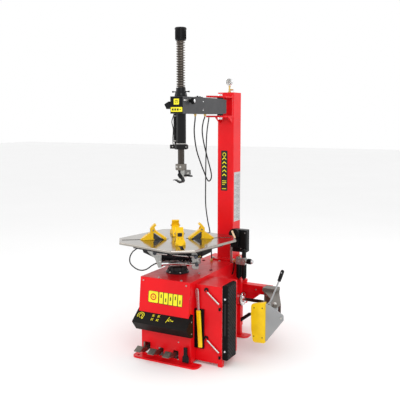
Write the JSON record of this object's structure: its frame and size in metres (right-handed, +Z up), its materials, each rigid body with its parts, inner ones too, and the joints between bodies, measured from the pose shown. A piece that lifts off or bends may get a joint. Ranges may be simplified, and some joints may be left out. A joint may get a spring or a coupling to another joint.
{
  "type": "tire changer machine",
  "caption": "Free-standing machine that clamps a wheel on a square turntable and strips its tyre with a swing-arm mount head and a side bead breaker.",
  "frame": {"origin": "centre of the bounding box's bottom face, on the floor", "axes": "+Z up, -Y towards the operator at the pedals, +X towards the bead breaker"},
  "size_m": [1.0952, 1.0252, 2.152],
  "materials": {
    "black_plastic": "matte",
    "black_steel": "satin",
    "cast_aluminium": "as cast",
    "cast_iron": "as cast",
    "chrome": "polished",
    "dark_grey_paint": "satin",
    "grey_steel": "satin",
    "hose": "satin",
    "polished_steel": "polished",
    "red_paint": "gloss",
    "rubber": "matte",
    "yellow_paint": "gloss",
    "yellow_plastic": "gloss"
  },
  "bodies": {
    "chassis": {"front_foot": "red_paint", "rear_foot": "red_paint", "cabinet": "red_paint", "front_panel": "red_paint", "pedal_cover": "black_plastic", "side_box": "red_paint", "wheel_pad": "rubber", "rear_frame": "red_paint", "column": "red_paint", "arm_bracket": "red_paint", "arm_pivot_pin": "chrome", "pressure_gauge": "chrome", "switch_box": "black_plastic", "air_unit": "cast_aluminium", "lever_holster": "black_plastic", "gearbox": "black_steel", "motor": "black_steel", "drive_belt": "rubber", "rotary_valve": "cast_aluminium", "pedal_shaft": "grey_steel", "pedal_valves": "cast_aluminium", "bead_cylinder": "chrome", "column_hose": "hose"},
    "needle": {"gauge_needle": "black_plastic"},
    "switch": {"switch_knob": "black_plastic"},
    "regulator": {"regulator_knob": "black_plastic"},
    "lever": {"tyre_lever": "polished_steel"},
    "turntable": {"table_top": "polished_steel", "table_hub": "cast_iron", "table_shaft": "grey_steel", "clamp_cylinder_front": "chrome", "clamp_cylinder_rear": "chrome", "table_hose_left": "hose", "table_hose_right": "hose"},
    "clamp_plate": {"clamp_ring": "grey_steel"},
    "jaw_slider_1": {"jaw_1": "yellow_paint"},
    "jaw_slider_2": {"jaw_2": "yellow_paint"},
    "jaw_slider_3": {"jaw_3": "yellow_paint"},
    "jaw_slider_4": {"jaw_4": "yellow_paint"},
    "worm": {"worm_pulley": "grey_steel"},
    "motor_rotor": {"motor_pulley": "grey_steel"},
    "arm": {"swing_arm": "dark_grey_paint", "guide_tube": "black_steel", "shaft_lock": "black_steel", "shaft_spring": "black_steel", "arm_hose": "hose"},
    "lock": {"lock_knob": "black_plastic"},
    "tool": {"tool_shaft": "polished_steel", "shaft_cap": "black_plastic", "mount_head": "black_steel"},
    "pedal_turn": {"turn_pedal": "grey_steel"},
    "pedal_clamp": {"clamp_pedal": "grey_steel"},
    "pedal_breaker": {"breaker_pedal": "grey_steel"},
    "pedal_inflate": {"inflate_pedal": "black_steel"},
    "breaker": {"breaker_arm": "red_paint", "blade_carrier": "grey_steel"},
    "blade_swivel": {"blade": "grey_steel", "blade_cover": "yellow_plastic", "blade_handle": "grey_steel"},
    "piston": {"piston_rod": "black_steel"}
  },
  "joints": [
    {"name": "needle_turn", "type": "hinge", "parent": "chassis", "child": "needle", "pos_m": [-0.0624, 0.4031, 1.854], "axis": [0, 1, 0], "range_deg": [-135, 135], "stiffness_Nm_per_rad": 0.0005},
    {"name": "switch_turn", "type": "hinge", "parent": "chassis", "child": "switch", "pos_m": [0.0526, 0.2526, 0.765], "axis": [0, 1, 0], "range_deg": [-45, 45]},
    {"name": "regulator_turn", "type": "hinge", "parent": "chassis", "child": "regulator", "pos_m": [0.1596, 0.2566, 0.578], "axis": [1, 0, 0], "range_deg": [-150, 150]},
    {"name": "lever_lift", "type": "slide", "parent": "chassis", "child": "lever", "axis": [-0.0628, 0, 0.998], "range_m": [0, 0.2]},
    {"name": "table_turn", "type": "hinge", "parent": "chassis", "child": "turntable", "pos_m": [-0.1824, -0.1474, 0.6], "axis": [0, 0, 1], "continuous": true},
    {"name": "jaw_1_slide", "type": "slide", "parent": "turntable", "child": "jaw_slider_1", "axis": [0.8192, 0.5736, 0], "range_m": [-0.035, 0.1]},
    {"name": "jaw_2_slide", "type": "slide", "parent": "turntable", "child": "jaw_slider_2", "axis": [-0.5736, 0.8192, 0], "range_m": [-0.035, 0.1]},
    {"name": "jaw_3_slide", "type": "slide", "parent": "turntable", "child": "jaw_slider_3", "axis": [-0.8192, -0.5736, 0], "range_m": [-0.035, 0.1]},
    {"name": "jaw_4_slide", "type": "slide", "parent": "turntable", "child": "jaw_slider_4", "axis": [0.5736, -0.8192, 0], "range_m": [-0.035, 0.1]},
    {"name": "clamp_plate_turn", "type": "hinge", "parent": "turntable", "child": "clamp_plate", "pos_m": [-0.1824, -0.1474, 0.72], "axis": [0, 0, 1], "range_deg": [-16, 45]},
    {"name": "worm_spin", "type": "hinge", "parent": "chassis", "child": "worm", "pos_m": [-0.1824, -0.0709, 0.44], "axis": [1, 0, 0], "continuous": true},
    {"name": "motor_spin", "type": "hinge", "parent": "chassis", "child": "motor_rotor", "pos_m": [-0.1824, 0.1076, 0.43], "axis": [1, 0, 0], "continuous": true},
    {"name": "arm_swing", "type": "hinge", "parent": "chassis", "child": "arm", "pos_m": [-0.0624, 0.2576, 1.67], "axis": [0, 0, 1], "range_deg": [0, 100]},
    {"name": "lock_turn", "type": "hinge", "parent": "arm", "child": "lock", "pos_m": [-0.0171, -0.2654, 1.7], "axis": [1, 0, 0], "range_deg": [-90, 90]},
    {"name": "tool_slide", "type": "slide", "parent": "arm", "child": "tool", "axis": [0, 0, 1], "range_m": [-0.15, 0], "stiffness_N_per_m": 600, "springref_m": 0.25, "deforming": ["shaft_spring"]},
    {"name": "turn_pedal_press", "type": "hinge", "parent": "chassis", "child": "pedal_turn", "pos_m": [-0.3054, -0.2474, 0.07], "axis": [1, 0, 0], "range_deg": [-10, 12], "stiffness_Nm_per_rad": 40, "springref_deg": -1.43},
    {"name": "clamp_pedal_press", "type": "hinge", "parent": "chassis", "child": "pedal_clamp", "pos_m": [-0.2024, -0.2474, 0.07], "axis": [1, 0, 0], "range_deg": [0, 12], "stiffness_Nm_per_rad": 20, "springref_deg": -6.88},
    {"name": "breaker_pedal_press", "type": "hinge", "parent": "chassis", "child": "pedal_breaker", "pos_m": [-0.0884, -0.2474, 0.07], "axis": [1, 0, 0], "range_deg": [0, 12], "stiffness_Nm_per_rad": 20, "springref_deg": -6.88},
    {"name": "inflate_pedal_press", "type": "hinge", "parent": "chassis", "child": "pedal_inflate", "pos_m": [0.0096, -0.3794, 0.026], "axis": [1, 0, 0], "range_deg": [-6, 0], "stiffness_Nm_per_rad": 8, "springref_deg": 6.88},
    {"name": "breaker_swing", "type": "hinge", "parent": "chassis", "child": "breaker", "pos_m": [0.0636, 0.4086, 0.3], "axis": [0, 0, 1], "range_deg": [-8, 15]},
    {"name": "blade_tilt", "type": "hinge", "parent": "breaker", "child": "blade_swivel", "pos_m": [0.4716, 0.0026, 0.29], "axis": [0, 0, 1], "range_deg": [-10, 10]},
    {"name": "piston_slide", "type": "slide", "parent": "chassis", "child": "piston", "axis": [1, 0, 0], "range_m": [-0.0135, 0.0245]}
  ],
  "couplings": [
    {"joint": "jaw_2_slide", "follows": "jaw_1_slide", "ratio": 1},
    {"joint": "jaw_3_slide", "follows": "jaw_1_slide", "ratio": 1},
    {"joint": "jaw_4_slide", "follows": "jaw_1_slide", "ratio": 1},
    {"joint": "clamp_plate_turn", "follows": "jaw_1_slide", "rad_per_m": 7.8},
    {"joint": "worm_spin", "follows": "table_turn", "ratio": 30},
    {"joint": "motor_spin", "follows": "table_turn", "ratio": 50},
    {"joint": "piston_slide", "follows": "breaker_swing", "m_per_rad": 0.091}
  ]
}
